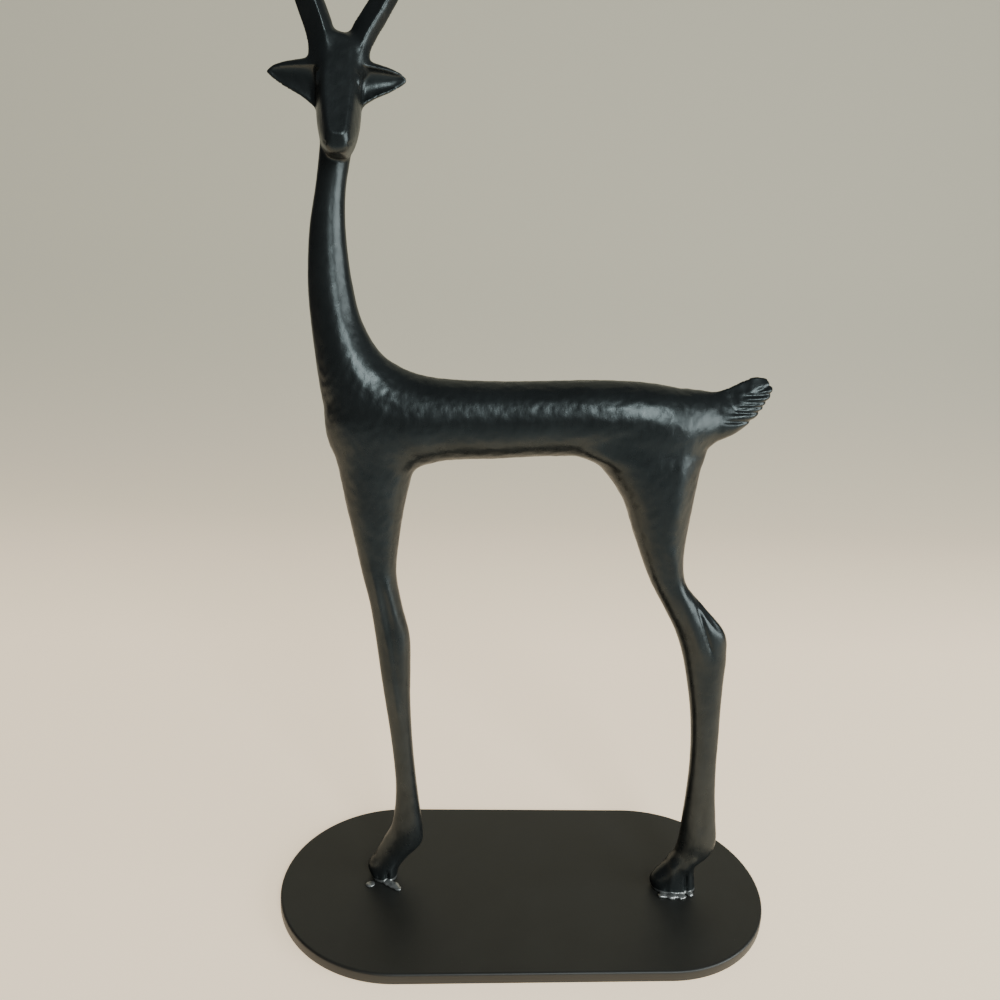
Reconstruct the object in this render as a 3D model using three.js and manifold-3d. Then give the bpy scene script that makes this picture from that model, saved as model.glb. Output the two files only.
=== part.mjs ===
// A slender cast iron stag standing on a flat plate with round ends.
// The stag looks out sideways over its left shoulder, towards -Y; its tail points along +X.
// Millimetres, +Z up, origin at the middle of the plate's underside.
import * as THREE from 'three';
import { mergeVertices } from 'three/addons/utils/BufferGeometryUtils.js';
import Module from 'manifold-3d';

// Plate
const plateLength = 250;
const plateWidth = 122;
const plateThickness = 5.5;
const plateEdgeRound = 1;
const weldGap = 0.3;

// Stag, laid out in its own middle plane and then turned on the plate
const figureTurn = THREE.MathUtils.degToRad(-3.5);
const footLevel = plateThickness + weldGap;
const headMiddle = -99.6;
const faceMiddle = headMiddle + 0.9;
const headTurn = THREE.MathUtils.degToRad(8);
const headRoll = THREE.MathUtils.degToRad(-0.5);
const headPivot = new THREE.Vector3(headMiddle, 0, 372);
const hornLean = THREE.MathUtils.degToRad(6.5);
const hornPivot = new THREE.Vector3(headMiddle, 0, 388);
const hornTop = 456;

const ironColour = 0x1c2326;
const plateColour = 0x2a2a27;

// Directions across a section
const sideways = new THREE.Vector3(0, 1, 0);
const lengthwise = new THREE.Vector3(1, 0, 0);
const upright = new THREE.Vector3(0, 0, 1);

// Trunk and neck: the two outline points that each section spans, and its half-width
const trunkStations = [
  { under: [73, 247], over: [70.5, 265], half: 5 },
  { under: [64, 241], over: [64, 266.8], half: 10.4 },
  { under: [51, 237], over: [52, 268.6], half: 14.4 },
  { under: [36, 236], over: [36, 269.8], half: 16 },
  { under: [15, 235.2], over: [15, 269.5], half: 16 },
  { under: [-6, 234], over: [-6, 268], half: 15.5 },
  { under: [-27, 231.8], over: [-27, 266.7], half: 15.5 },
  { under: [-48, 230], over: [-48, 266.3], half: 16 },
  { under: [-69, 226], over: [-60, 267.3], half: 16.6 },
  { under: [-98.8, 232], over: [-70, 270], half: 16 },
  { under: [-105.2, 253], over: [-80.5, 276.6], half: 13.8 },
  { under: [-109, 276], over: [-88.6, 289.5], half: 11.2 },
  { under: [-111.6, 298.5], over: [-92.7, 304], half: 9.2 },
  { under: [-111.8, 316], over: [-95.1, 318.5], half: 7.8 },
  { under: [-110.8, 330], over: [-96.2, 331.5], half: 6.9 },
  { under: [-108.8, 342.5], over: [-96, 343.5], half: 6.3 },
  { under: [-107.3, 355], over: [-94.2, 356], half: 6.6 },
  { under: [-106, 369], over: [-92, 369], half: 7 },
];

// Legs: level sections, with the front and back edge and the half-width at each height
const frontLegSections = [
  { height: 250, front: -103, back: -72, half: 12 },
  { height: 236, front: -100.9, back: -61, half: 13.4 },
  { height: 222, front: -97.8, back: -64.8, half: 12.4 },
  { height: 206, front: -94.4, back: -68, half: 10.8 },
  { height: 190, front: -90.6, back: -70, half: 9.2 },
  { height: 174, front: -87, back: -70.9, half: 7.8 },
  { height: 158, front: -83, back: -68, half: 7 },
  { height: 142, front: -80.2, back: -63.8, half: 6.8 },
  { height: 126, front: -77.8, back: -62.9, half: 6.4 },
  { height: 110, front: -75.3, back: -62.6, half: 5.6 },
  { height: 94, front: -72.6, back: -61.6, half: 5 },
  { height: 78, front: -70.3, back: -60.1, half: 4.8 },
  { height: 62, front: -68.6, back: -58.1, half: 4.9 },
  { height: 48, front: -68.6, back: -56.1, half: 5.4 },
  { height: 36, front: -70.2, back: -54.2, half: 5.9 },
  { height: 27, front: -74.4, back: -54.4, half: 5.8 },
  { height: 19, front: -78.2, back: -60.9, half: 5.8 },
  { height: 12, front: -81.8, back: -65.4, half: 6.2 },
  { height: 4, front: -78.4, back: -66.9, half: 6.6 },
];
const rearLegSections = [
  { height: 252, front: 28, back: 69, half: 13 },
  { height: 240, front: 8, back: 68.2, half: 13.6 },
  { height: 230, front: 21.4, back: 66.3, half: 13.8 },
  { height: 216, front: 32.4, back: 65, half: 12.6 },
  { height: 202, front: 38.2, back: 64, half: 10.8 },
  { height: 188, front: 44, back: 63.7, half: 9.2 },
  { height: 176, front: 49.6, back: 66.2, half: 8 },
  { height: 164, front: 56.8, back: 77, half: 7.6 },
  { height: 152, front: 63.8, back: 87.8, half: 7.8 },
  { height: 140, front: 68.7, back: 90.2, half: 7.4 },
  { height: 126, front: 72.6, back: 90.5, half: 6.6 },
  { height: 110, front: 76.1, back: 91.1, half: 5.9 },
  { height: 94, front: 78.3, back: 92, half: 5.4 },
  { height: 78, front: 79.4, back: 92.8, half: 5.2 },
  { height: 62, front: 79.5, back: 94.3, half: 5.2 },
  { height: 48, front: 79.1, back: 96.3, half: 5.6 },
  { height: 36, front: 78.8, back: 97.9, half: 6.1 },
  { height: 28, front: 77.4, back: 96, half: 6 },
  { height: 20, front: 73.2, back: 89, half: 6.2 },
  { height: 11, front: 66.4, back: 89.6, half: 6.6 },
  { height: 4, front: 68.2, back: 90.6, half: 6.8 },
];

// Tail: a short upturned leaf
const tailStations = [
  { under: [58, 241], over: [60, 267.5], half: 9 },
  { under: [70.5, 243.6], over: [67, 267.4], half: 9 },
  { under: [78, 247.6], over: [71.5, 268.4], half: 8.4 },
  { under: [84.5, 252.8], over: [77, 270.8], half: 7.2 },
  { under: [89, 257.8], over: [82.5, 273.4], half: 5.8 },
  { under: [92.2, 262.8], over: [87, 275.2], half: 4.2 },
  { under: [94.2, 267.2], over: [91, 274.8], half: 2.6 },
  { under: [94.8, 270.4], over: [93.4, 272.4], half: 1 },
];

// Head: sections across the face, from the back of the skull to the nose
const headStations = [
  { under: [9.5, 381], over: [8.6, 391], half: 5 },
  { under: [8.8, 368], over: [6, 399], half: 9 },
  { under: [4, 358.6], over: [-1.5, 400], half: 9.8 },
  { under: [-3.5, 354.8], over: [-7.5, 392.5], half: 9 },
  { under: [-9, 354.2], over: [-12, 383.5], half: 7.8 },
  { under: [-13.5, 354.2], over: [-16, 374.5], half: 6.8 },
  { under: [-17.5, 355], over: [-19.4, 367], half: 5.6 },
  { under: [-19.6, 356.4], over: [-21, 363.4], half: 4.3 },
];
const crown = { back: 1.5, height: 391, halves: [12, 7.8, 11] };

// Ears: reach from the middle of the head, upper and lower edge, and half-thickness
const earStations = [
  { reach: 3, upper: 394.5, lower: 371.5, half: 5.5 },
  { reach: 9, upper: 393.6, lower: 374.8, half: 4.8 },
  { reach: 15, upper: 392, lower: 378.8, half: 3.8 },
  { reach: 21, upper: 390.6, lower: 381.8, half: 2.7 },
  { reach: 25.6, upper: 389.3, lower: 384.4, half: 1.6 },
  { reach: 28.2, upper: 387.4, lower: 386.6, half: 0.6 },
];
const earCupDepth = 0.62;
const earSweepBack = 3;

// Horns: a lyre, wide and ridged at the root and running to a blunt point
const hornStations = [
  { reach: 6.2, height: 390, back: 1.5, half: 4 },
  { reach: 6.9, height: 397, back: 1.5, half: 5 },
  { reach: 9, height: 404, back: 2, half: 5.2 },
  { reach: 14.4, height: 415, back: 2.6, half: 5 },
  { reach: 18.9, height: 425, back: 2.2, half: 4.5 },
  { reach: 21.2, height: 435, back: 1, half: 3.8 },
  { reach: 20.6, height: 444, back: -1, half: 3 },
  { reach: 17.8, height: 451.5, back: -2.6, half: 2 },
  { reach: 15, height: hornTop, back: -3.6, half: 0.8 },
];
const hornDepth = 0.86;

// Lines carved into both flanks: ends as along, out from the middle plane, and up; then the width
const carvedLines = [
  { from: [68.5, 4.6, 171.5], to: [82, 7.5, 142], width: 2.4 },
  { from: [75, 4.4, 166], to: [86.6, 4.8, 150], width: 2.2 },
  { from: [-80.5, 8.8, 184], to: [-73, 6.4, 128], width: 3.4 },
  { from: [-71.6, 6.8, 3], to: [-71.2, 6.3, 14], width: 2.6 },
  { from: [84.8, 6.4, 3], to: [83.2, 6.4, 22], width: 2.6 },
];
const feathers = [
  { from: [80.5, 7.2, 263.4], to: [94.6, 1.8, 269.4] },
  { from: [76, 8.3, 259.6], to: [93.2, 1.6, 264.4] },
  { from: [71, 9, 255.2], to: [88.6, 2.4, 257.4] },
  { from: [69.5, 8.4, 250.8], to: [82.8, 1.6, 250.6] },
];
const featherWidth = 2.5;

const wasm = await Module();
wasm.setup();

function toSolid(geometry) {
  const plain = geometry.clone();
  plain.deleteAttribute('normal');
  plain.deleteAttribute('uv');
  const merged = mergeVertices(plain, 1e-4);
  return new wasm.Manifold(
    new wasm.Mesh({
      numProp: 3,
      vertProperties: new Float32Array(merged.attributes.position.array),
      triVerts: new Uint32Array(merged.index.array),
    }),
  );
}

function toGeometry(solid) {
  const mesh = solid.getMesh();
  const geometry = new THREE.BufferGeometry();
  geometry.setAttribute('position', new THREE.BufferAttribute(mesh.vertProperties, 3));
  geometry.setIndex(new THREE.BufferAttribute(mesh.triVerts, 1));
  geometry.computeVertexNormals();
  return geometry;
}

function joined(geometries) {
  return geometries.map(toSolid).reduce((whole, piece) => whole.add(piece));
}

// Signed volume of a triangle mesh, positive where its faces point out
function signedVolume(points, faces) {
  let total = 0;
  for (const [a, b, c] of faces) {
    total += points[a].dot(new THREE.Vector3().crossVectors(points[b], points[c])) / 6;
  }
  return total;
}

function meshFrom(points, faces) {
  const turned = signedVolume(points, faces) < 0 ? faces.map(([a, b, c]) => [a, c, b]) : faces;
  const geometry = new THREE.BufferGeometry().setFromPoints(points);
  geometry.setIndex(turned.flat());
  return geometry;
}

// Section outlines: how far along the spanned line and across it a point lies, from -1 to 1
const roundSection = (angle) => [Math.cos(angle), Math.sin(angle)];

function squareSection(power) {
  return (angle) => {
    const along = Math.cos(angle);
    const across = Math.sin(angle);
    const radius = (Math.abs(along) ** power + Math.abs(across) ** power) ** (-1 / power);
    return [along * radius, across * radius];
  };
}

// The face is flat in front and narrower there than at the cheeks
function faceSection(angle, t) {
  const [along, across] = squareSection(3)(angle);
  const overNarrowing = (0.15 + 0.3 * Math.min(1, t * 1.3)) * (along + 1) / 2;
  const underNarrowing = 0.35 * Math.min(0, along) ** 2;
  return [along, across * (1 - overNarrowing - underNarrowing)];
}

// An ear is hollowed in front: its front surface follows the back one at a part of its depth
function earSection(angle) {
  const [along, across] = roundSection(angle);
  const bow = 1 - along * along;
  return [along, across >= 0 ? across : -0.15 + (earCupDepth + 0.15) * bow - 0.15 * (1 - bow)];
}

// A smooth loft through stations that each give two points, low and high, and a half-width
function loft(stations, across, sides, rings, section = roundSection) {
  const curveOf = (pick) => new THREE.CatmullRomCurve3(stations.map(pick), false, 'catmullrom', 0.5);
  const lowCurve = curveOf((station) => station.low);
  const highCurve = curveOf((station) => station.high);
  const halfCurve = curveOf((station) => new THREE.Vector3(station.half, 0, 0));
  const points = [];
  const faces = [];
  for (let i = 0; i <= rings; i += 1) {
    const t = i / rings;
    const low = lowCurve.getPoint(t);
    const high = highCurve.getPoint(t);
    const half = halfCurve.getPoint(t).x;
    const centre = low.clone().add(high).multiplyScalar(0.5);
    const span = high.clone().sub(low).multiplyScalar(0.5);
    for (let j = 0; j < sides; j += 1) {
      const [along, aside] = section((2 * Math.PI * j) / sides, t);
      points.push(centre.clone().addScaledVector(span, along).addScaledVector(across, half * aside));
    }
  }
  for (let i = 0; i < rings; i += 1) {
    for (let j = 0; j < sides; j += 1) {
      const next = (j + 1) % sides;
      const [a, b] = [i * sides + j, i * sides + next];
      faces.push([a, b, b + sides], [a, b + sides, a + sides]);
    }
  }
  const middleOf = (ring) => {
    const middle = new THREE.Vector3();
    points.slice(ring * sides, (ring + 1) * sides).forEach((point) => middle.add(point));
    return middle.multiplyScalar(1 / sides);
  };
  const firstMiddle = points.length;
  points.push(middleOf(0), middleOf(rings));
  const last = rings * sides;
  for (let j = 0; j < sides; j += 1) {
    const next = (j + 1) % sides;
    faces.push([firstMiddle, next, j], [firstMiddle + 1, last + j, last + next]);
  }
  return meshFrom(points, faces);
}

// Stations in the stag's middle plane, in the head's middle plane, and at one height
const inPlane = ({ under, over, half }) => ({
  low: new THREE.Vector3(under[0], 0, under[1]),
  high: new THREE.Vector3(over[0], 0, over[1]),
  half,
});
const inFace = ({ under, over, half }) => ({
  low: new THREE.Vector3(faceMiddle, under[0], under[1]),
  high: new THREE.Vector3(faceMiddle, over[0], over[1]),
  half,
});
const levelSection = ({ height, front, back, half }) => ({
  low: new THREE.Vector3(front, 0, height),
  high: new THREE.Vector3(back, 0, height),
  half,
});

function trunkAndNeck() {
  return loft(trunkStations.map(inPlane), sideways, 24, 38);
}

function leg(sections, rings) {
  return loft(sections.map(levelSection), sideways, 16, rings, squareSection(2.2));
}

function tail() {
  return loft(tailStations.map(inPlane), sideways, 16, 12);
}

function head() {
  return loft(headStations.map(inFace), lengthwise, 20, 14, faceSection);
}

function ear(side) {
  const lastReach = earStations.at(-1).reach;
  const stations = earStations.map(({ reach, upper, lower, half }) => {
    const along = headMiddle + side * reach;
    const back = 1 + earSweepBack * (reach / lastReach) ** 2;
    return {
      low: new THREE.Vector3(along, back, lower),
      high: new THREE.Vector3(along, back, upper),
      half,
    };
  });
  return loft(stations, sideways, 14, 8, earSection);
}

// The horn's sections are rhombic, so that a ridge runs up its front
function horn(side) {
  const stations = hornStations.map(({ reach, height, back, half }, i) => {
    const before = hornStations[Math.max(0, i - 1)];
    const after = hornStations[Math.min(hornStations.length - 1, i + 1)];
    const lean = Math.atan2(after.reach - before.reach, after.height - before.height);
    const [out, down] = [half * Math.cos(lean), half * Math.sin(lean)];
    return {
      low: new THREE.Vector3(headMiddle + side * (reach - out), back, height + down),
      high: new THREE.Vector3(headMiddle + side * (reach + out), back, height - down),
      half: half * hornDepth,
    };
  });
  return loft(stations, sideways, 12, 16, squareSection(1.5));
}

function turnedAbout(geometry, pivot, turn) {
  const { x, y, z } = pivot;
  return geometry.translate(-x, -y, -z).applyMatrix4(turn).translate(x, y, z);
}

function crownBulge() {
  const bulge = new THREE.SphereGeometry(1, 14, 10).rotateX(Math.PI / 2);
  return bulge.scale(...crown.halves).translate(faceMiddle, crown.back, crown.height);
}

function headWithHornsAndEars() {
  const lean = new THREE.Matrix4().makeRotationY(hornLean);
  const horns = [horn(-1), horn(1)].map((geometry) => turnedAbout(geometry, hornPivot, lean));
  const turn = new THREE.Matrix4().makeRotationZ(headTurn);
  turn.multiply(new THREE.Matrix4().makeRotationY(headRoll));
  const pieces = [head(), crownBulge(), ear(-1), ear(1), ...horns];
  return pieces.map((geometry) => turnedAbout(geometry, headPivot, turn));
}

// A spindle lying along a carved line, on one flank
function spindle({ from, to, width }, side) {
  const start = new THREE.Vector3(from[0], side * from[1], from[2]);
  const end = new THREE.Vector3(to[0], side * to[1], to[2]);
  const turn = new THREE.Quaternion().setFromUnitVectors(upright, end.clone().sub(start).normalize());
  const cutter = new THREE.SphereGeometry(1, 6, 6).rotateX(Math.PI / 2);
  cutter.scale(width / 2, width / 2, start.distanceTo(end) / 2).applyQuaternion(turn);
  const middle = start.add(end).multiplyScalar(0.5);
  return cutter.translate(middle.x, middle.y, middle.z);
}

function carvingCutters() {
  const lines = [...carvedLines, ...feathers.map((feather) => ({ ...feather, width: featherWidth }))];
  return lines.flatMap((line) => [spindle(line, -1), spindle(line, 1)]);
}

// Weld beads: low uneven lumps where a hoof meets the plate
function weldBeads(centre, halfLength) {
  const beads = [];
  const around = 7;
  for (let i = 0; i < around; i += 1) {
    const angle = (2 * Math.PI * i) / around;
    const size = 2.6 + 0.7 * Math.sin(3.7 * i + centre);
    const bead = new THREE.SphereGeometry(size, 6, 4).rotateX(Math.PI / 2);
    bead.scale(1.3, 1, 0.55);
    bead.translate(centre + halfLength * Math.cos(angle), 6.4 * Math.sin(angle), footLevel);
    beads.push(bead);
  }
  return beads;
}

function stagBody() {
  const body = joined([
    trunkAndNeck(),
    leg(frontLegSections, 31),
    leg(rearLegSections, 35),
    tail(),
    ...headWithHornsAndEars(),
    ...weldBeads(-73.2, 5.2),
    ...weldBeads(78, 9),
  ]);
  const belowFeet = new THREE.BoxGeometry(plateLength, plateWidth, 40).translate(0, 0, footLevel - 20);
  return body.subtract(joined(carvingCutters())).subtract(toSolid(belowFeet));
}

function stadium(length, width) {
  const radius = width / 2;
  const reach = length / 2 - radius;
  const outline = new THREE.Shape();
  outline.absarc(reach, 0, radius, -Math.PI / 2, Math.PI / 2);
  outline.absarc(-reach, 0, radius, Math.PI / 2, 1.5 * Math.PI);
  return outline;
}

function plateGeometry() {
  const outline = stadium(plateLength - 2 * plateEdgeRound, plateWidth - 2 * plateEdgeRound);
  const plate = new THREE.ExtrudeGeometry(outline, {
    depth: plateThickness - 2 * plateEdgeRound,
    bevelThickness: plateEdgeRound,
    bevelSize: plateEdgeRound,
    bevelSegments: 1,
    curveSegments: 20,
  });
  return toGeometry(toSolid(plate.translate(0, 0, plateEdgeRound)));
}

function named(name, geometry, colour, roughness) {
  const material = new THREE.MeshStandardMaterial({ color: colour, roughness, metalness: 0.3 });
  const mesh = new THREE.Mesh(geometry, material);
  mesh.name = name;
  return mesh;
}

const stag = named('stag', toGeometry(stagBody()), ironColour, 0.38);
stag.rotation.z = figureTurn;
const plate = named('base_plate', plateGeometry(), plateColour, 0.5);

const statue = new THREE.Group();
statue.add(plate, stag);

export default statue;
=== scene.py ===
import math

import bpy
import numpy as np
from mathutils import Matrix, Vector, noise


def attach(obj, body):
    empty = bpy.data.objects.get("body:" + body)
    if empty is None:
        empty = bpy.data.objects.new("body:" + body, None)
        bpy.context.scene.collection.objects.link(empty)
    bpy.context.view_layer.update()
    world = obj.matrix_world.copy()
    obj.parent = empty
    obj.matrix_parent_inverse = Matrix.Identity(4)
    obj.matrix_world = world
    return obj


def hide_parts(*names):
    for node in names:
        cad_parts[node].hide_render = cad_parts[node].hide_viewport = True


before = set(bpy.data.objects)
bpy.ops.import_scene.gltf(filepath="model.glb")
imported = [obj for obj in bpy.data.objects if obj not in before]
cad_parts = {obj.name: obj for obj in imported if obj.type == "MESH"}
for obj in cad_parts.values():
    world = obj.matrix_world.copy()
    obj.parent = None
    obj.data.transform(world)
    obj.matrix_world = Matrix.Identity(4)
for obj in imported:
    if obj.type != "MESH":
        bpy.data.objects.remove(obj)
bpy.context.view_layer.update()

MM = 0.001
TINY = 1e-6

# Plate, in millimetres
PLATE_LENGTH = 250
PLATE_WIDTH = 122
PLATE_THICKNESS = 5.5
PLATE_EDGE_ROUND = 1.2
PLATE_FOOT_ROUND = 0.6

# Figure, in millimetres, laid out in its own middle plane and then turned on the plate
FIGURE_TURN = math.radians(-3.5)
SOLE_LEVEL = PLATE_THICKNESS + 0.03
HEAD_MIDDLE = -99.6
FACE_MIDDLE = HEAD_MIDDLE + 0.5
HEAD_TURN = math.radians(8)
HEAD_ROLL = math.radians(-0.5)
HEAD_PIVOT = np.array([HEAD_MIDDLE, 0, 372.0])
HORN_LEAN = math.radians(5.2)
HORN_PIVOT = np.array([HEAD_MIDDLE, 0, 388.0])

# Camera, in millimetres and degrees, fitted to the plate's outline in the photo
CAMERA_PLACE = (-55.7, -372.7, 313.9)
CAMERA_PITCH = math.radians(15.17)
CAMERA_YAW = math.radians(4.85)
CAMERA_ROLL = math.radians(3.29)
CAMERA_FOCAL_PIXELS = 842.5
IMAGE_SIDE = 1000
SENSOR = 36

# Trunk and neck: two outline points that each section spans, and its half-width
TRUNK = [
    ((73, 247), (70.5, 264.6), 5), ((64, 241), (64, 266.2), 10), ((51, 237), (52, 268.2), 14.2),
    ((36, 236), (36, 269.8), 16), ((15, 235.2), (15, 269.5), 16), ((-6, 234), (-6, 268), 15.5),
    ((-27, 231.8), (-27, 266.7), 15.5), ((-48, 230), (-48, 266.3), 16), ((-69, 226), (-60, 267.3), 16.6),
    ((-98.8, 232), (-70, 270), 16), ((-105.2, 253), (-80.5, 276.6), 13.8),
    ((-109, 276), (-88.6, 289.5), 11.2), ((-111.6, 298.5), (-92.7, 304), 9.2),
    ((-111.8, 316), (-95.1, 318.5), 7.8), ((-110.8, 330), (-96.2, 331.5), 6.9),
    ((-108.8, 342.5), (-96, 343.5), 6.3), ((-107.3, 355), (-94.2, 356), 6.6), ((-106, 369), (-92, 369), 7),
]

# Legs: height, front edge, back edge and half-width
FRONT_LEG = [
    (262, -95, -78, 7), (250, -101.6, -72, 12.4), (236, -100.9, -61, 14.2), (222, -97.8, -64.8, 13),
    (206, -94.4, -68, 11), (190, -90.6, -70, 9.3), (174, -87, -70.9, 7.8), (158, -83, -68, 7),
    (142, -80.2, -63.8, 6.8), (126, -77.8, -62.9, 6.4), (110, -75.3, -62.6, 5.6), (94, -72.6, -61.6, 5),
    (78, -70.3, -60.1, 4.8), (62, -68.6, -58.1, 4.9), (48, -68.6, -56.1, 5.4), (36, -70.2, -54.2, 5.9),
    (27, -74.4, -54.4, 5.8), (19, -78.2, -60.9, 5.8), (12, -81.8, -65.4, 6.2), (4, -78.4, -66.9, 6.6),
]
REAR_LEG = [
    (262, 36, 60, 8), (252, 29, 67, 13.6), (240, 8, 68.2, 15), (230, 21.4, 66.3, 14.9),
    (216, 32.4, 65, 13.4), (202, 38.2, 64, 11.3), (188, 44, 63.7, 9.4), (176, 49.6, 66.2, 8),
    (164, 56.8, 77, 7.6), (152, 63.8, 87.8, 7.8), (140, 68.7, 90.2, 7.4), (126, 72.6, 90.5, 6.6),
    (110, 76.1, 91.1, 5.9), (94, 78.3, 92, 5.4), (78, 79.4, 92.8, 5.2), (62, 79.5, 94.3, 5.2),
    (48, 79.1, 96.3, 5.6), (36, 78.8, 97.9, 6.1), (28, 77.4, 96, 6), (20, 73.2, 89, 6.2),
    (11, 66.4, 89.6, 6.6), (4, 68.2, 90.6, 6.8),
]

# Tail: two outline points that each section spans, and its half-width
TAIL = [
    ((44, 247), (46, 261), 6), ((54, 242.8), (56, 266), 9.8), ((62, 242.8), (62, 266.6), 10.4),
    ((70.5, 244.6), (67, 266.8), 10.8), ((78, 247.8), (71.5, 267.8), 10.8), ((84.5, 252.8), (77, 270.3), 10),
    ((89, 257.8), (82.5, 273.4), 8.8), ((92.2, 262.8), (87, 275.2), 7), ((94.2, 267.2), (91, 274.8), 4.6),
    ((94.8, 270.4), (93.4, 272.4), 1.6),
]

# Narrowing of the tail's upper edge: the shares of its length where it starts and that it takes, and how much
TAIL_ROOT_END = 0.2
TAIL_ROOT_FADE = 0.3
TAIL_EDGE_NARROWING = 0.43

# Head: sections across the face, from the back of the skull to the nose
HEAD = [
    ((9.5, 381), (8.6, 391), 5), ((8.8, 368), (6, 396), 9), ((4, 358.6), (-1.5, 397.5), 9.9),
    ((-3.5, 354.8), (-7, 392), 9.4), ((-9, 354.6), (-12, 383.5), 8.3), ((-13.5, 354.8), (-16, 374.5), 7),
    ((-17.5, 355.2), (-19.4, 367), 5.5), ((-19.6, 356.4), (-21, 363.2), 4.2),
]
CROWN_PLACE = (FACE_MIDDLE, 1.5, 393.2)
CROWN_HALVES = (10.8, 7.4, 10)

# How much the face narrows: at its front, further at the nose, and under the jaw
FACE_FRONT_NARROWING = 0.1
FACE_NOSE_NARROWING = 0.16
FACE_JAW_NARROWING = 0.35

# Features of the face: the flat bridge passes through a point, runs forward as it falls, and is cut in. The
# others are given by places to the side, in depth and in height, and lie on both sides.
BRIDGE_DEPTH, BRIDGE_TOP = -7.5, 392.5
BRIDGE_RUN, BRIDGE_FALL = 13.5, 29.1
BRIDGE_CUT = 0.7
NOSTRIL = ((5, -20.2, 363.6), (5.9, -17.8, 368), 0.8)
MOUTH = ((4.2, -19.4, 358.8), (7.2, -13.5, 360), 0.6)
LID_PLACE = (8, -6.4, 384)
LID_HALVES = (0.9, 1.6, 2.4)

# Ears: reach from the middle of the head, upper edge, lower edge and half-thickness
EAR = [
    (3, 394.5, 371.8, 5.5), (9, 394, 375.2, 4.8), (15, 392.8, 379.2, 3.8), (21, 391.6, 382.2, 2.7),
    (25.4, 390.1, 384.9, 1.6), (28.2, 388, 387.1, 0.6),
]

# How far back an ear's root lies, and how much further its tip
EAR_ROOT_BACK = 1
EAR_SWEEP_BACK = 3

# How far the left and right ear sit lower. Their hollows: middle and span as shares of the half-height, and
# how far behind the ear's middle they go, as a share of the half-thickness. The rim stands ahead by a share.
EAR_DROPS = (0.7, 0)
EAR_CUPS = [(-0.5, 1.1, 0), (-0.14, 0.8, 0.34)]
EAR_RIM_AHEAD = 0.8
EAR_LEAST_THICKNESS = 1.5

# Horns: reach from the middle of the head, height, how far back, and half-width
HORN = [
    (6.2, 390, 1.5, 4), (6.9, 397, 1.5, 5), (9, 404, 2, 5.2), (14.4, 415, 2.6, 5), (18.9, 425, 2.2, 4.5),
    (21.2, 435, 1, 3.8), (20.6, 444, -1, 3), (17.8, 451.5, -2.6, 2), (15, 456, -3.6, 0.8),
]

# A horn's depth as a share of its width, how far its front ridge lies towards the tail's side as a share of
# its half-width, and the sizes of the left and right horn
HORN_DEPTH = 1
HORN_RIDGE_SHIFT = 0.3
HORN_SIZES = (1.1, 1)

# Widths over which the forms melt into each other
LEG_BLEND = 5
TAIL_BLEND = 4
NECK_BLEND = 1.2
CROWN_BLEND = 4
EAR_BLEND = 2.2
HORN_BLEND = 3
LID_BLEND = 1.6
WELD_BLEND = 0.8
BRIDGE_SOFTNESS = 0.4
NOSTRIL_SOFTNESS = 0.6
MOUTH_SOFTNESS = 0.5
EAR_SOFTNESS = 0.5

# Lines on both flanks: two ends in the figure's plane, half-width and depth, below nothing for a ridge. They
# fade out close to the middle plane, and rise to full depth over a third of their length at each end.
FLANK_LINES = [
    ((70.2, 170.5), (83, 139), 0.9, 1), ((68.6, 172), (86, 152), 0.8, 0.8), ((58, 256), (53, 186), 4.2, -0.9),
    ((53, 202), (67, 164), 3.2, -1), ((62, 178), (81, 132), 2.8, -1), ((-77.5, 176), (-67.5, 102), 2.6, 1),
    ((-83, 186), (-69.5, 122), 1.5, -0.7), ((-75, 150), (-65, 84), 1.5, -0.7),
    ((-77, 178), (-67.5, 144), 1.7, -0.8), ((-71.6, 3), (-71.2, 13), 1, 1.5), ((84.8, 3), (83.2, 21), 1, 1.6),
    ((76.5, 26), (75.5, 9), 1.6, -0.5), ((88.5, 29), (80.5, 17), 1.6, -0.6), ((88, 60), (88, 40), 2.4, 0.4),
    ((-64, 62), (-62, 34), 2.2, 0.35),
]
MIDDLE_FADE = 2.5
LINE_RISE = 3

# Feathering of the tail: the two ends of each line, which rises to full depth from its first end
FEATHERS = [
    ((85, 267.8), (94.5, 272.2)), ((80, 266.2), (95, 268.2)), ((80, 263.4), (95, 264.7)),
    ((77, 260.8), (93, 262.6)), ((73.5, 258.6), (91, 260)), ((71, 254.9), (88, 255.7)),
]
FEATHER_WIDTH = 0.8
FEATHER_DEPTH = 0.85

# Tool marks: depth in millimetres, marks per millimetre along, across and up, and their slant. They grow from
# a least share at the bottom height to full depth over a distance, and shrink again below the top height.
TOOL_MARK_DEPTH = 0.16
TOOL_MARK_PITCH = np.array([0.36, 0.36, 0.27])
TOOL_MARK_SLANT = math.radians(25)
TOOL_MARK_BOTTOM, TOOL_MARK_BOTTOM_FADE = 160, 40
TOOL_MARK_TOP, TOOL_MARK_TOP_FADE = 290, 20
TOOL_MARK_LEAST = 0.3

# Weld lumps at the foot of each hoof: place along and across, half-length, half-width and height
WELD_LUMPS = [
    (-79.4, -8, 2.7, 2.5, 1.2), (-70.6, -6.4, 2.5, 2.3, 1.4), (-67.4, -8, 2.9, 2.5, 1.5),
    (-64.8, -10.4, 2.3, 2.1, 1), (-75, 6.6, 3.4, 2.5, 1.2), (-69, 6.4, 3, 2.3, 1), (71.8, -7.6, 2.7, 2, 1.3),
    (76.6, -8, 3, 2.2, 1.7), (81.4, -7.8, 3.3, 2.2, 1.4), (86.8, -5.8, 1.8, 1.8, 1.4),
    (72.5, 7.2, 3.4, 2.3, 1.3), (80, 7.6, 3.6, 2.5, 1.3), (87, 5.6, 2.4, 2.1, 1),
]

# A lighter colour is painted below this height as the glint of the weld lumps, and it fades out over a
# distance above it
WELD_TOP = 6.9
WELD_FADE = 0.6

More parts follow.
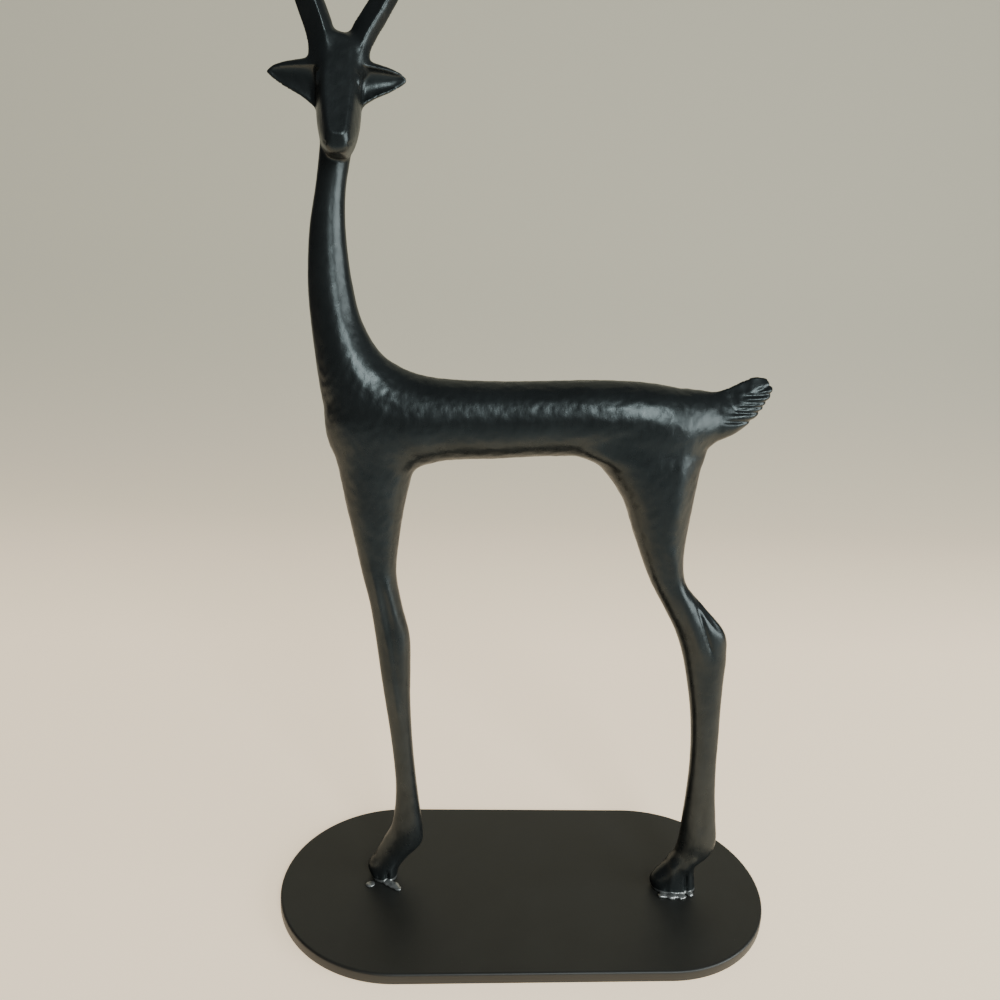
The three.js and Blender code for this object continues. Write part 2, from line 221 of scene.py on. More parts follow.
# Where forms are worked out: the head above a height and up to a place along, the carving below a height and
# close to the surface, and the welds below a height. FAR is the distance given where no form reaches.
HEAD_FROM_HEIGHT = 343
HEAD_UP_TO_PLACE = -60
CARVED_BELOW = 290
CARVED_REACH = 9
WELDS_BELOW = 12
FAR = 12.0

# Mesh grid along, across and up: where each stretch starts and its spacing, and where the last one ends
GRID_ALONG = [(-131, 0.76), (-64, 1.25), (52, 0.82)], 99
GRID_ACROSS = [(-21, 0.88)], 21
GRID_UP = [
    (4.7, 0.7), (24, 1.3), (132, 0.8), (182, 1.25), (244, 0.6), (273, 1.15), (346, 0.66), (412, 0.72),
], 459

# Colours. The iron is part metal, and its mirroring is tinted darker towards its outline.
IRON_DARK, IRON_LIGHT = (0.038, 0.0425, 0.0428), (0.049, 0.0545, 0.0548)
IRON_METAL_SHARE = 0.73
EDGE_TINT = (0.64, 0.64, 0.64)
# Painted glint: a lighter colour that stands in for the glints of the weld lumps
WELD_GLINT_PAINT = (0.34, 0.34, 0.33)
PLATE_DARK, PLATE_LIGHT = (0.0145, 0.014, 0.012), (0.0205, 0.02, 0.0175)
DUST = (0.07, 0.067, 0.058)

# Ground: where its shading starts in front and ends behind, in metres, the colours on the way, and its glow
GROUND_RANGE = (-1.5, 1)
GROUND_COLOURS = [
    (0.12, (0.045, 0.052, 0.053)), (0.36, (0.115, 0.133, 0.137)), (0.5, (0.27, 0.285, 0.275)),
    (0.56, (0.84, 0.68, 0.49)), (0.72, (0.84, 0.68, 0.49)), (1.0, (0.3, 0.287, 0.226)),
]
GROUND_GLOW = 1.24

# Lights: place and size in metres, power in watts and colour
LIGHT_TARGET = (0, 0, 0.25)
FRONT_LIGHT = ((0.38, -1.25, 1.0), (0.46, 0.66), 12.5, (0.88, 0.99, 1))
RIGHT_LIGHT = ((1.06, -0.56, 0.42), (1.05, 0.6), 14, (0.9, 0.99, 1))
ROOM_COLOUR = (0.5, 0.52, 0.55)
ROOM_STRENGTH = 0.16


def spline(rows, count):
    """Points on the even Catmull-Rom curve through the rows, which runs straight on at its ends."""
    rows = np.asarray(rows, float)
    padded = np.vstack([2 * rows[0] - rows[1], rows, 2 * rows[-1] - rows[-2]])
    place = np.linspace(0, len(rows) - 1, count)
    index = np.minimum(place.astype(int), len(rows) - 2)
    f = (place - index)[:, None]
    p0, p1, p2, p3 = (padded[index + i] for i in range(4))
    cubic = -p0 + 3 * p1 - 3 * p2 + p3
    square = 2 * p0 - 5 * p1 + 4 * p2 - p3
    return 0.5 * (2 * p1 + (p2 - p0) * f + square * f**2 + cubic * f**3)


def smooth_least(a, b, width):
    """The lesser of two distances, blended where they differ by less than the width."""
    mix = np.maximum(width - np.abs(a - b), 0) / width
    return np.minimum(a, b) - mix * mix * width / 4


def smooth_most(a, b, width):
    return -smooth_least(-a, -b, width)


class Sweep:
    """A form swept along a path in one plane. Each section spans two points of the plane, has a half-width
    across it, and may lean. The form answers how far points lie outside it."""

    SAMPLES = 320
    STEP = 0.5
    MARGIN = 9
    BEYOND_SPAN_COST = 0.3

    def __init__(self, rows, power=2, end_round=0.5, narrowing=None, lean=0):
        self.power = power
        self.lean = lean
        self.end_round = end_round
        self.narrowing = narrowing
        path = spline(rows, self.SAMPLES)
        self.low_corner = np.minimum(path[:, 0:2], path[:, 2:4]).min(0) - self.MARGIN
        self.high_corner = np.maximum(path[:, 0:2], path[:, 2:4]).max(0) + self.MARGIN
        self.width = path[:, 4].max() + np.abs(path[:, 5]).max() + self.MARGIN
        self.maps = self.plane_maps(path)

    def plane_maps(self, path):
        """For a grid over the plane: place along the section's span, its reach, half-width, sideways shift,
        share of the way along the path, and how far past the path's nearer end."""
        centre = (path[:, 0:2] + path[:, 2:4]) / 2
        span = (path[:, 2:4] - path[:, 0:2]) / 2
        reach = np.linalg.norm(span, axis=1)
        unit = span / reach[:, None]
        counts = np.ceil((self.high_corner - self.low_corner) / self.STEP).astype(int) + 1
        first = self.low_corner[0] + self.STEP * np.arange(counts[0])
        second = self.low_corner[1] + self.STEP * np.arange(counts[1])
        rows = [self.map_row(a, second, path, centre, unit, reach) for a in first]
        return np.stack(rows).transpose(2, 0, 1)

    def map_row(self, a, second, path, centre, unit, reach):
        rel_a = a - centre[:, 0][:, None]
        rel_b = second[None, :] - centre[:, 1][:, None]
        off = unit[:, 0:1] * rel_b - unit[:, 1:2] * rel_a
        along = unit[:, 0:1] * rel_a + unit[:, 1:2] * rel_b
        cost = np.abs(off) + self.BEYOND_SPAN_COST * np.maximum(np.abs(along) - reach[:, None], 0)
        best = np.argmin(cost, axis=0)
        columns = np.arange(len(second))
        last = len(path) - 1
        here = off[best, columns]
        after = off[np.minimum(best + 1, last), columns]
        before = off[np.maximum(best - 1, 0), columns]
        forward = np.where(here * after < 0, here / np.where(here == after, 1, here - after), 0)
        backward = np.where(here * before < 0, here / np.where(here == before, 1, here - before), 0)
        place = np.clip(best + forward - backward, 0, last)
        index = np.minimum(place.astype(int), last - 1)
        f = place - index

        def blended(values):
            return values[index] * (1 - f) + values[index + 1] * f

        centre_a, centre_b = blended(centre[:, 0]), blended(centre[:, 1])
        unit_a, unit_b = blended(unit[:, 0]), blended(unit[:, 1])
        along_here = unit_a * (a - centre_a) + unit_b * (second - centre_b)
        past = np.maximum(self.past_end(centre, unit, 0, 1, a, second),
                          self.past_end(centre, unit, last, last - 1, a, second))
        return np.stack([along_here, blended(reach), blended(path[:, 4]), blended(path[:, 5]),
                         place / last, past], axis=1)

    @staticmethod
    def past_end(centre, unit, end, inner, a, second):
        """How far points lie beyond the path's end section."""
        normal = np.array([-unit[end][1], unit[end][0]])
        if np.dot(normal, centre[end] - centre[inner]) < 0:
            normal = -normal
        return normal[0] * (a - centre[end][0]) + normal[1] * (second - centre[end][1])

    def looked_up(self, first, second):
        a = (first - self.low_corner[0]) / self.STEP
        b = (second - self.low_corner[1]) / self.STEP
        i = np.clip(a.astype(int), 0, self.maps.shape[1] - 2)
        j = np.clip(b.astype(int), 0, self.maps.shape[2] - 2)
        fa, fb = np.clip(a - i, 0, 1), np.clip(b - j, 0, 1)
        m = self.maps
        return ((m[:, i, j] * (1 - fa) + m[:, i + 1, j] * fa) * (1 - fb)
                + (m[:, i, j + 1] * (1 - fa) + m[:, i + 1, j + 1] * fa) * fb)

    def near(self, first, second, across):
        return ((first > self.low_corner[0]) & (first < self.high_corner[0])
                & (second > self.low_corner[1]) & (second < self.high_corner[1])
                & (np.abs(across) < self.width))

    def section_distance(self, first, second, across):
        along, reach, half, shift, share, past = self.looked_up(first, second)
        along = along + self.lean * (across - shift)
        x = np.abs(along) / reach
        if self.narrowing is not None:
            half = half * self.narrowing(along / reach, share)
        y = np.abs(across - shift) / half
        p = self.power
        k0 = (x**p + y**p) ** (1 / p) + TINY
        slope = np.hypot((x / k0) ** (p - 1) / reach, (y / k0) ** (p - 1) / half)
        return (k0 - 1) / np.maximum(slope, TINY), past, (along / reach, (across - shift) / half, half)

    def distance(self, first, second, across):
        sides, past, _ = self.section_distance(first, second, across)
        r = self.end_round
        a, b = sides + r, past + r
        outside = np.hypot(np.maximum(a, 0), np.maximum(b, 0))
        return outside + np.minimum(np.maximum(a, b), 0) - r


def plane_rows(stations):
    return [(*under, *over, half, 0) for under, over, half in stations]


def level_rows(sections):
    return [(front, height, back, height, half, 0) for height, front, back, half in sections]


def face_narrowing(along, share):
    """The face narrows towards its flat front, more so at the nose, and narrows again under the jaw."""
    over = (FACE_FRONT_NARROWING + FACE_NOSE_NARROWING * share) * (np.clip(along, -1, 1) + 1) / 2
    under = FACE_JAW_NARROWING * np.minimum(0, np.clip(along, -1, 1)) ** 2
    return 1 - over - under


def tail_narrowing(along, share):
    """Past its root the tail narrows to a thin upper edge."""
    clear = np.clip((share - TAIL_ROOT_END) / TAIL_ROOT_FADE, 0, 1)
    return 1 - TAIL_EDGE_NARROWING * clear * (np.clip(along, -1, 1) + 1)


def ear_rows(side):
    last = EAR[-1][0]
    drop = EAR_DROPS[side > 0]
    return [(HEAD_MIDDLE + side * reach, lower - drop, HEAD_MIDDLE + side * reach, upper - drop, half,
             EAR_ROOT_BACK + EAR_SWEEP_BACK * (reach / last) ** 2) for reach, upper, lower, half in EAR]


def horn_rows(side):
    rows = []
    size = HORN_SIZES[side > 0]
    for i, (reach, height, back, half) in enumerate(HORN):
        half = half * size
        before, after = HORN[max(0, i - 1)], HORN[min(len(HORN) - 1, i + 1)]
        lean = math.atan2(after[0] - before[0], after[1] - before[1])
        out, down = half * math.cos(lean), half * math.sin(lean)
        rows.append((HEAD_MIDDLE + side * (reach - out), height + down,
                     HEAD_MIDDLE + side * (reach + out), height - down, half * HORN_DEPTH, back))
    return rows


TRUNK_FORM = Sweep(plane_rows(TRUNK), end_round=4)
FRONT_LEG_FORM = Sweep(level_rows(FRONT_LEG), power=2.2, end_round=1)
REAR_LEG_FORM = Sweep(level_rows(REAR_LEG), power=2.2, end_round=1)
TAIL_FORM = Sweep(plane_rows(TAIL), end_round=0.8, narrowing=tail_narrowing)
HEAD_FORM = Sweep(plane_rows(HEAD), power=4, end_round=1.5, narrowing=face_narrowing)
EAR_FORMS = [Sweep(ear_rows(side)) for side in (-1, 1)]
HORN_FORMS = [Sweep(horn_rows(side), power=1.22, end_round=0.6, lean=side * HORN_RIDGE_SHIFT)
              for side in (-1, 1)]


def rotation(axis, angle):
    return np.array(Matrix.Rotation(angle, 3, axis))


HEAD_AXES = rotation("Z", HEAD_TURN) @ rotation("Y", HEAD_ROLL)
HORN_AXES = rotation("Y", HORN_LEAN)


def in_turned_frame(points, pivot, axes):
    """The points as they lie before the part is turned about its pivot."""
    return (points - pivot) @ axes + pivot


def ellipsoid(points, place, halves):
    rel = (points - np.array(place)) / np.array(halves)
    k0 = np.linalg.norm(rel, axis=1) + TINY
    k1 = np.linalg.norm(rel / np.array(halves), axis=1) + TINY
    return k0 * (k0 - 1) / k1


def spindle(points, start, end, radius):
    """A line that swells to its radius in the middle and runs out at both ends."""
    start, end = np.array(start, float), np.array(end, float)
    line = end - start
    share = np.clip((points - start) @ line / (line @ line), 0, 1)
    gap = np.linalg.norm(points - start - share[:, None] * line, axis=1)
    return gap - radius * np.sqrt(np.maximum(1 - (2 * share - 1) ** 2, 0.02))


def ear_distance(form, cup, points):
    """A cupped ear: a full leaf with its front hollowed inside a rim."""
    leaf, past, (along, across, half) = form.section_distance(points[:, 0], points[:, 2], points[:, 1])
    leaf = smooth_most(leaf, past, EAR_SOFTNESS)
    middle, span, depth = cup
    hollow = np.clip(1 - ((along - middle) / span) ** 2, 0, 1)
    front = (-EAR_RIM_AHEAD + (EAR_RIM_AHEAD + depth) * np.sqrt(hollow)) * half
    behind = half * np.sqrt(np.clip(1 - along * along, 0, 1)) - EAR_LEAST_THICKNESS
    return smooth_most(leaf, np.minimum(front, behind) - across * half, EAR_SOFTNESS)


def face_details(distance, points):
    """Cuts the flat bridge, the nostrils and the mouth, and raises the lids."""
    side = np.abs(points[:, 0] - FACE_MIDDLE)
    depth, height = points[:, 1], points[:, 2]
    slope = math.hypot(BRIDGE_RUN, BRIDGE_FALL)
    bridge = (-BRIDGE_FALL * (depth - BRIDGE_DEPTH) + BRIDGE_RUN * (height - BRIDGE_TOP)) / slope
    distance = smooth_most(distance, bridge + BRIDGE_CUT, BRIDGE_SOFTNESS)
    folded = np.column_stack([side, depth, height])
    distance = smooth_most(distance, -spindle(folded, *NOSTRIL), NOSTRIL_SOFTNESS)
    distance = smooth_most(distance, -spindle(folded, *MOUTH), MOUTH_SOFTNESS)
    return smooth_least(distance, ellipsoid(folded, LID_PLACE, LID_HALVES), LID_BLEND)


def head_distance(points):
    """Head, crown, ears and horns, for points in the figure's frame."""
    p = in_turned_frame(points, HEAD_PIVOT, HEAD_AXES)
    total = HEAD_FORM.distance(p[:, 1], p[:, 2], p[:, 0] - FACE_MIDDLE)
    total = smooth_least(total, ellipsoid(p, CROWN_PLACE, CROWN_HALVES), CROWN_BLEND)
    total = face_details(total, p)
    for form, cup in zip(EAR_FORMS, EAR_CUPS):
        near = form.near(p[:, 0], p[:, 2], p[:, 1])
        total[near] = smooth_least(total[near], ear_distance(form, cup, p[near]), EAR_BLEND)
    q = in_turned_frame(p, HORN_PIVOT, HORN_AXES)
    for form in HORN_FORMS:
        near = form.near(q[:, 0], q[:, 2], q[:, 1])
        horn = form.distance(q[near, 0], q[near, 2], q[near, 1])
        total[near] = smooth_least(total[near], horn, HORN_BLEND)
    return total


def share_along(points, start, end):
    """How far along a line in the figure's plane points lie, from 0 to 1, and their gap from it."""
    start, end = np.array(start, float), np.array(end, float)
    line = end - start
    share = np.clip((points - start) @ line / (line @ line), 0, 1)
    return share, np.linalg.norm(points - start - share[:, None] * line, axis=1)


def carved(distance, points):
    """The hollows and ridges of the legs, the clefts of the hooves and the feathering of the tail."""
    plane = points[:, [0, 2]]
    flank = np.clip(np.abs(points[:, 1]) / MIDDLE_FADE, 0, 1)
    for start, end, width, depth in FLANK_LINES:
        share, gap = share_along(plane, start, end)
        rise = np.clip(LINE_RISE * np.minimum(share, 1 - share), 0, 1)
        fade = rise * rise * (3 - 2 * rise)
        distance = distance + depth * flank * fade * np.exp(-((gap / width) ** 2))
    for start, end in FEATHERS:
        share, gap = share_along(plane, start, end)
        fade = np.clip(share * LINE_RISE, 0, 1)
        distance = distance + FEATHER_DEPTH * fade * np.exp(-((gap / FEATHER_WIDTH) ** 2))
    return distance


def figure_distance(points):
    """How far points lie outside the whole figure, in millimetres; far points all get the same value."""
    total = np.full(len(points), FAR)
    along, across, height = points.T
    near = TRUNK_FORM.near(along, height, across)
    total[near] = TRUNK_FORM.distance(along[near], height[near], across[near])
    for form, width in ((FRONT_LEG_FORM, LEG_BLEND), (REAR_LEG_FORM, LEG_BLEND), (TAIL_FORM, TAIL_BLEND)):
        near = form.near(along, height, across)
        piece = form.distance(along[near], height[near], across[near])
        total[near] = smooth_least(total[near], piece, width)
    near = (height > HEAD_FROM_HEIGHT) & (along < HEAD_UP_TO_PLACE)
    if near.any():
        total[near] = smooth_least(total[near], head_distance(points[near]), NECK_BLEND)
    near = (height < CARVED_BELOW) & (height > 0) & (np.abs(total) < CARVED_REACH)
    total[near] = carved(total[near], points[near])
    near = height < WELDS_BELOW
    for lump_along, lump_across, length, width, rise in WELD_LUMPS:
        lump = ellipsoid(points[near], (lump_along, lump_across, SOLE_LEVEL), (length, width, rise))
        total[near] = smooth_least(total[near], lump, WELD_BLEND)
    return np.maximum(total, SOLE_LEVEL - height)


def steps(stretches, last_end):
    """Grid lines over stretches that each have their own start and spacing."""
    ends = [start for start, _ in stretches[1:]] + [last_end]
    lines = [np.array([stretches[0][0]])]
    for (start, spacing), end in zip(stretches, ends):
        count = max(1, round((end - start) / spacing))
        lines.append(np.linspace(start, end, count + 1)[1:])
    return np.concatenate(lines)


def field_on_grid(axes):
    """The distance at each grid point, worked out in slabs."""
    xs, ys, zs = axes
    field = np.empty((len(xs), len(ys), len(zs)))
    for i, x in enumerate(xs):
        y, z = np.meshgrid(ys, zs, indexing="ij")
        points = np.column_stack([np.full(y.size, x), y.ravel(), z.ravel()])
        field[i] = figure_distance(points).reshape(y.shape)
    return field


def cell_points(field, axes, cells):
    """One point in each cell that the surface passes through: the mean of its edge crossings."""
    total = np.zeros((len(cells), 3))
    count = np.zeros(len(cells))
    corners = [np.array(c) for c in np.ndindex(2, 2, 2)]
    for start in corners:
        for axis in range(3):
            if start[axis]:
                continue
            end = start.copy()
            end[axis] = 1
            a, b = (cells + start).T, (cells + end).T
            fa, fb = field[tuple(a)], field[tuple(b)]
            crosses = (fa < 0) != (fb < 0)
            share = np.where(crosses, fa / np.where(crosses, fa - fb, 1), 0)
            for k in range(3):
                at = axes[k][a[k]] * (1 - share) + axes[k][b[k]] * share
                total[:, k] += np.where(crosses, at, 0)
            count += crosses
    return total / count[:, None]


def surface_of(field, axes):
    """Vertices and quads of the surface where the field is zero."""
    inside = field < 0
    shape = np.array(field.shape) - 1
    filled = sum(inside[a:a + shape[0], b:b + shape[1], c:c + shape[2]].astype(np.int8)
                 for a, b, c in np.ndindex(2, 2, 2))
    active = (filled > 0) & (filled < 8)
    cells = np.argwhere(active)
    number = np.full(active.shape, -1)
    number[tuple(cells.T)] = np.arange(len(cells))
    points = cell_points(field, axes, cells)
    quads = []
    for axis in range(3):
        u, v = (axis + 1) % 3, (axis + 2) % 3
        low = [slice(1, -1)] * 3
        low[axis] = slice(0, -1)
        high = list(low)
        high[axis] = slice(1, None)
        differs = inside[tuple(low)] != inside[tuple(high)]
        starts = np.argwhere(differs)
        starts[:, u] += 1
        starts[:, v] += 1
        outward = inside[tuple(starts.T)]
        ring = []
        for du, dv in ((-1, -1), (0, -1), (0, 0), (-1, 0)):
            cell = starts.copy()
            cell[:, u] += du
            cell[:, v] += dv
            ring.append(number[tuple(cell.T)])
        ring = np.stack(ring, axis=1)
        ring[~outward] = ring[~outward][:, ::-1]
        quads.append(ring)
    return points, np.concatenate(quads)


def slope_of(points, probe=0.25):
    """The direction and rate in which the distance grows at each point."""
    return np.stack([figure_distance(points + probe * axis) - figure_distance(points - probe * axis)
                     for axis in np.eye(3)], axis=1) / (2 * probe)


def settled(points, rounds=2, least_square=0.2, longest_step=0.4):
    """Moves points on to the exact surface along its slope."""
    for _ in range(rounds):
        slope = slope_of(points)
        square = np.maximum((slope * slope).sum(axis=1), least_square)
        step = np.clip(figure_distance(points) / square, -longest_step, longest_step)
        points = points - slope * step[:, None]
    return points


def relaxed(points, quads, rounds=2, pull=0.5, push=-0.52):
    """Evens the mesh without shrinking it: each pull towards the neighbours is followed by a push back."""
    a = quads.ravel()
    b = np.roll(quads, -1, axis=1).ravel()
    count = np.bincount(a, minlength=len(points)) + np.bincount(b, minlength=len(points))
    for i in range(2 * rounds):
        total = np.zeros_like(points)
        for k in range(3):
            total[:, k] = (np.bincount(a, points[b, k], len(points))
                           + np.bincount(b, points[a, k], len(points)))
        points = points + (pull if i % 2 == 0 else push) * (total / count[:, None] - points)
    return points


def hammered(points, probe=0.5):
    """Small uneven facets left by the finishing tools, strongest on the trunk and haunch."""
    heights = points[:, 2]
    above = np.clip((heights - TOOL_MARK_BOTTOM) / TOOL_MARK_BOTTOM_FADE, 0, 1)
    below = np.clip((TOOL_MARK_TOP - heights) / TOOL_MARK_TOP_FADE, 0, 1)
    strength = TOOL_MARK_DEPTH * (TOOL_MARK_LEAST + (1 - TOOL_MARK_LEAST) * (above * below))
    out = slope_of(points, probe)
    out /= np.maximum(np.linalg.norm(out, axis=1), TINY)[:, None]
    slanted = points @ rotation("Y", TOOL_MARK_SLANT) * TOOL_MARK_PITCH
    marks = np.array([noise.noise(Vector(p)) for p in slanted])
    return points + out * (strength * marks)[:, None]


def mesh_object(name, points, faces):
    mesh = bpy.data.meshes.new(name)
    mesh.from_pydata([tuple(p) for p in points], [], [tuple(int(i) for i in f) for f in faces])
    mesh.polygons.foreach_set("use_smooth", np.full(len(mesh.polygons), True))
    mesh.validate()
    obj = bpy.data.objects.new(name, mesh)
    bpy.context.collection.objects.link(obj)
    return obj


def figure():
    """The whole casting as one fine mesh, turned on the plate."""
    axes = (steps(*GRID_ALONG), steps(*GRID_ACROSS), steps(*GRID_UP))
    points, quads = surface_of(field_on_grid(axes), axes)
    points = hammered(settled(relaxed(points, quads)))
    turned = points @ rotation("Z", FIGURE_TURN).T
    print("figure:", len(points), "vertices,", 2 * len(quads), "triangles")
    return mesh_object("stag_casting", turned * MM, quads)


def stadium_ring(inset, height, per_end=72):
    """Points round a rectangle with half-round ends, drawn in by the inset."""
    radius = PLATE_WIDTH / 2 - inset
    reach = (PLATE_LENGTH - PLATE_WIDTH) / 2
    ring = []
    for side in (1, -1):
        for i in range(per_end + 1):
            angle = math.pi * (i / per_end - 0.5)
            ring.append((side * (reach + radius * math.cos(angle)), side * radius * math.sin(angle), height))
    return ring


def edge_profile(turns=5, near_edge=0.5, well_inside=4):
    """Inset and height of each ring round the plate's edge, from the underside up."""
    rings = [(PLATE_FOOT_ROUND + well_inside, 0)]
    for i in range(turns + 1):
        angle = math.pi / 2 * i / turns
        rings.append((PLATE_FOOT_ROUND * (1 - math.sin(angle)), PLATE_FOOT_ROUND * (1 - math.cos(angle))))
    for i in range(turns + 1):
        angle = math.pi / 2 * i / turns
        rings.append((PLATE_EDGE_ROUND * (1 - math.cos(angle)),
                      PLATE_THICKNESS - PLATE_EDGE_ROUND * (1 - math.sin(angle))))
    rings.append((PLATE_EDGE_ROUND + near_edge, PLATE_THICKNESS))
    rings.append((PLATE_EDGE_ROUND + well_inside, PLATE_THICKNESS))
    return rings


def plate():
    """The flat plate with its softened edges."""
    rings = [stadium_ring(inset, height) for inset, height in edge_profile()]
    around = len(rings[0])
    points = np.array([p for ring in rings for p in ring]) * MM
    faces = []
    for i in range(len(rings) - 1):
        for j in range(around):
            k = (j + 1) % around
            faces.append((i * around + j, i * around + k, (i + 1) * around + k, (i + 1) * around + j))
    faces.append(tuple(reversed(range(around))))
    top = (len(rings) - 1) * around
    faces.append(tuple(range(top, top + around)))
    return mesh_object("plate_casting", points, faces)


def node_of(tree, kind, **inputs):
    node = tree.nodes.new(kind)
    for name, value in inputs.items():
        node.inputs[name.replace("_", " ")].default_value = value
    return node


def noise_node(tree, vector, scale, detail=3.0, roughness=0.5):
    node = node_of(tree, "ShaderNodeTexNoise", Scale=scale, Detail=detail, Roughness=roughness)
    tree.links.new(vector, node.inputs["Vector"])
    return node.outputs["Fac"]


def ramp_node(tree, value, stops):
    ramp = tree.nodes.new("ShaderNodeValToRGB")
    elements = ramp.color_ramp.elements
    while len(elements) < len(stops):
        elements.new(0.5)
    for element, (place, colour) in zip(elements, stops):
        element.position = place
        element.color = (*colour, 1)
    tree.links.new(value, ramp.inputs["Fac"])
    return ramp.outputs["Color"]


def range_node(tree, value, low, high):
    node = node_of(tree, "ShaderNodeMapRange", To_Min=low, To_Max=high)
    tree.links.new(value, node.inputs["Value"])
    return node.outputs["Result"]


def bump_node(tree, height, strength, distance, below=None):
    bump = node_of(tree, "ShaderNodeBump", Strength=strength, Distance=distance)
    tree.links.new(height, bump.inputs["Height"])
    if below is not None:
        tree.links.new(below, bump.inputs["Normal"])
    return bump.outputs["Normal"]


def stretched(tree, scale, turn=(0, 0, 0)):
    coordinates = tree.nodes.new("ShaderNodeTexCoord")
    mapping = tree.nodes.new("ShaderNodeMapping")
    mapping.inputs["Scale"].default_value = scale
    mapping.inputs["Rotation"].default_value = turn
    tree.links.new(coordinates.outputs["Object"], mapping.inputs["Vector"])
    return mapping.outputs["Vector"]


def mixed(tree, share, colour, other):
    """The linked colour, turned to the other colour where the share is one."""
    mix = tree.nodes.new("ShaderNodeMix")
    mix.data_type = "RGBA"
    tree.links.new(share, mix.inputs["Factor"])
    tree.links.new(colour, mix.inputs["A"])
    mix.inputs["B"].default_value = (*other, 1)
    return mix.outputs["Result"]


def new_material(name):
    material = bpy.data.materials.new(name)
    material.use_nodes = True
    tree = material.node_tree
    return material, tree, tree.nodes["Principled BSDF"]


def blackened_iron():
    """Satin near-black iron with file strokes, a soft mottling and finer grain, and a painted glint: a
    lighter colour at the weld lumps.
    """
    material, tree, shader = new_material("blackened_iron")
    plain = stretched(tree, (1, 1, 1))
    mottling = noise_node(tree, plain, scale=90, detail=4)
    colour = ramp_node(tree, mottling, [(0.3, IRON_DARK), (0.7, IRON_LIGHT)])
    split = tree.nodes.new("ShaderNodeSeparateXYZ")
    tree.links.new(plain, split.inputs["Vector"])
    # Painted glint: the colour turns lighter below the weld top, standing in for the glints of the weld lumps
    painted_glint_share = node_of(tree, "ShaderNodeMapRange", From_Min=WELD_TOP * MM, From_Max=(WELD_TOP + WELD_FADE) * MM,
                   To_Min=1, To_Max=0)
    tree.links.new(split.outputs["Z"], painted_glint_share.inputs["Value"])
    tree.links.new(mixed(tree, painted_glint_share.outputs["Result"], colour, WELD_GLINT_PAINT), shader.inputs["Base Color"])
    slanted = stretched(tree, scale=(420, 380, 240), turn=(0.1, 0.4, 0.1))
    strokes = noise_node(tree, slanted, scale=1, detail=2)
    grain = noise_node(tree, plain, scale=1400, detail=2)
    tree.links.new(range_node(tree, strokes, low=0.22, high=0.38), shader.inputs["Roughness"])
    stroke_bump = bump_node(tree, strokes, strength=0.5, distance=0.0002)
    fine_bump = bump_node(tree, grain, strength=0.25, distance=0.00006, below=stroke_bump)
    tree.links.new(fine_bump, shader.inputs["Normal"])
    shader.inputs["Metallic"].default_value = IRON_METAL_SHARE
    shader.inputs["Specular Tint"].default_value = (*EDGE_TINT, 1)
    return material


def plate_iron():
    """Smooth dark plate with a satin sheen and fine pale specks of dust."""
    material, tree, shader = new_material("plate_iron")
    plain = stretched(tree, (1, 1, 1))
    cloud = noise_node(tree, plain, scale=40, detail=4)
    base = ramp_node(tree, cloud, [(0.3, PLATE_DARK), (0.7, PLATE_LIGHT)])
    dots = noise_node(tree, plain, scale=900, detail=2, roughness=0.6)
    specks = ramp_node(tree, dots, [(0.72, (0, 0, 0)), (0.8, (1, 1, 1))])
    tree.links.new(mixed(tree, specks, base, DUST), shader.inputs["Base Color"])
    tree.links.new(range_node(tree, cloud, low=0.38, high=0.5), shader.inputs["Roughness"])
    grain = noise_node(tree, plain, scale=1100, detail=3)
    tree.links.new(bump_node(tree, grain, strength=0.2, distance=0.00005), shader.inputs["Normal"])
    return material


def pale_ground():
    """A pale, softly glowing ground: dim in front, warm round the plate and cooler as it rises behind."""
    material, tree, shader = new_material("pale_ground")
    coordinates = tree.nodes.new("ShaderNodeTexCoord")
    split = tree.nodes.new("ShaderNodeSeparateXYZ")
    tree.links.new(coordinates.outputs["Object"], split.inputs["Vector"])
    place = node_of(tree, "ShaderNodeMapRange", From_Min=GROUND_RANGE[0], From_Max=GROUND_RANGE[1])
    tree.links.new(split.outputs["Y"], place.inputs["Value"])
    colour = ramp_node(tree, place.outputs["Result"], GROUND_COLOURS)
    tree.links.new(colour, shader.inputs["Base Color"])
    tree.links.new(colour, shader.inputs["Emission Color"])
    shader.inputs["Emission Strength"].default_value = GROUND_GLOW
    shader.inputs["Roughness"].default_value = 0.9
    return material


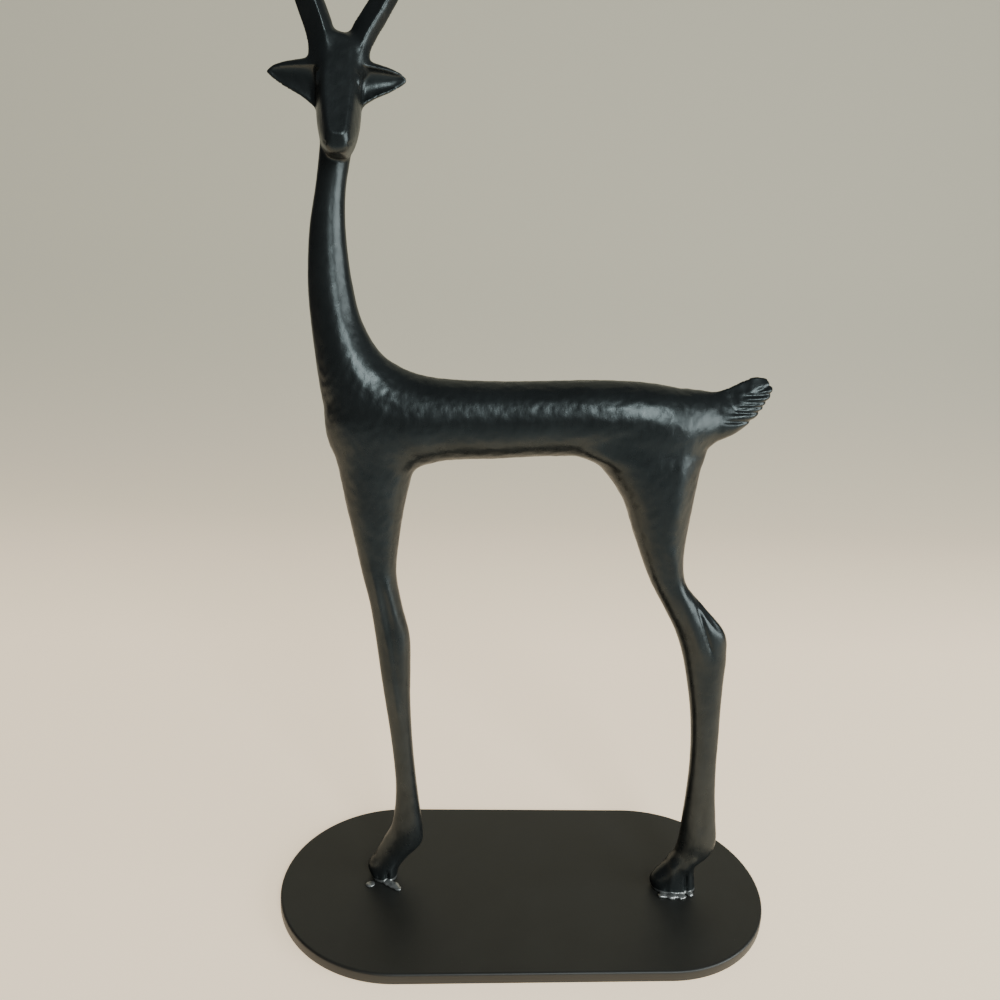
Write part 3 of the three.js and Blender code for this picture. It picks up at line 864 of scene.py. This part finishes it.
def sweep_backdrop():
    """A pale floor that curves up into a pale wall behind the statue."""
    half, front, wall, curve, height, floor = 1.05, -2.5, 1.0, 0.35, 3.0, -0.0002
    profile = [(front, floor), (wall - curve, floor)]
    turns = 16
    for i in range(1, turns + 1):
        angle = math.pi / 2 * i / turns
        profile.append((wall - curve + curve * math.sin(angle), curve * (1 - math.cos(angle))))
    profile.append((wall, height))
    points = [(x, y, z) for y, z in profile for x in (-half, half)]
    faces = [(2 * i, 2 * i + 1, 2 * i + 3, 2 * i + 2) for i in range(len(profile) - 1)]
    backdrop = mesh_object("backdrop", points, faces)
    backdrop.data.materials.append(pale_ground())


def soft_light(name, place, size, power, colour):
    data = bpy.data.lights.new(name, "AREA")
    data.shape = "RECTANGLE"
    data.size, data.size_y = size
    data.energy = power
    data.color = colour
    light = bpy.data.objects.new(name, data)
    light.location = place
    aim = Vector(LIGHT_TARGET) - Vector(place)
    light.rotation_euler = aim.to_track_quat("-Z", "Y").to_euler()
    bpy.context.collection.objects.link(light)


def lighting():
    world = bpy.data.worlds.new("soft_room")
    world.use_nodes = True
    background = world.node_tree.nodes["Background"]
    background.inputs["Color"].default_value = (*ROOM_COLOUR, 1)
    background.inputs["Strength"].default_value = ROOM_STRENGTH
    bpy.context.scene.world = world
    soft_light("front", *FRONT_LIGHT)
    soft_light("right", *RIGHT_LIGHT)


def camera():
    """The photo's own viewpoint."""
    yaw, pitch, roll = CAMERA_YAW, CAMERA_PITCH, CAMERA_ROLL
    ahead = Vector((math.sin(yaw) * math.cos(pitch), math.cos(yaw) * math.cos(pitch), -math.sin(pitch)))
    level_right = Vector((math.cos(yaw), -math.sin(yaw), 0))
    level_up = level_right.cross(ahead)
    right = math.cos(roll) * level_right + math.sin(roll) * level_up
    up = -math.sin(roll) * level_right + math.cos(roll) * level_up
    data = bpy.data.cameras.new("photo_view")
    data.sensor_width = SENSOR
    data.lens = CAMERA_FOCAL_PIXELS * SENSOR / IMAGE_SIDE
    data.clip_start, data.clip_end = 0.02, 20
    obj = bpy.data.objects.new("photo_view", data)
    turn = Matrix((right, up, -ahead)).transposed().to_4x4()
    obj.matrix_world = Matrix.Translation(Vector(CAMERA_PLACE) * MM) @ turn
    bpy.context.collection.objects.link(obj)
    bpy.context.scene.camera = obj


def dressed(obj, material, node):
    obj.data.materials.append(material)
    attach(obj, "root")
    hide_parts(node)


dressed(figure(), blackened_iron(), "stag")
dressed(plate(), plate_iron(), "base_plate")
sweep_backdrop()
lighting()
camera()
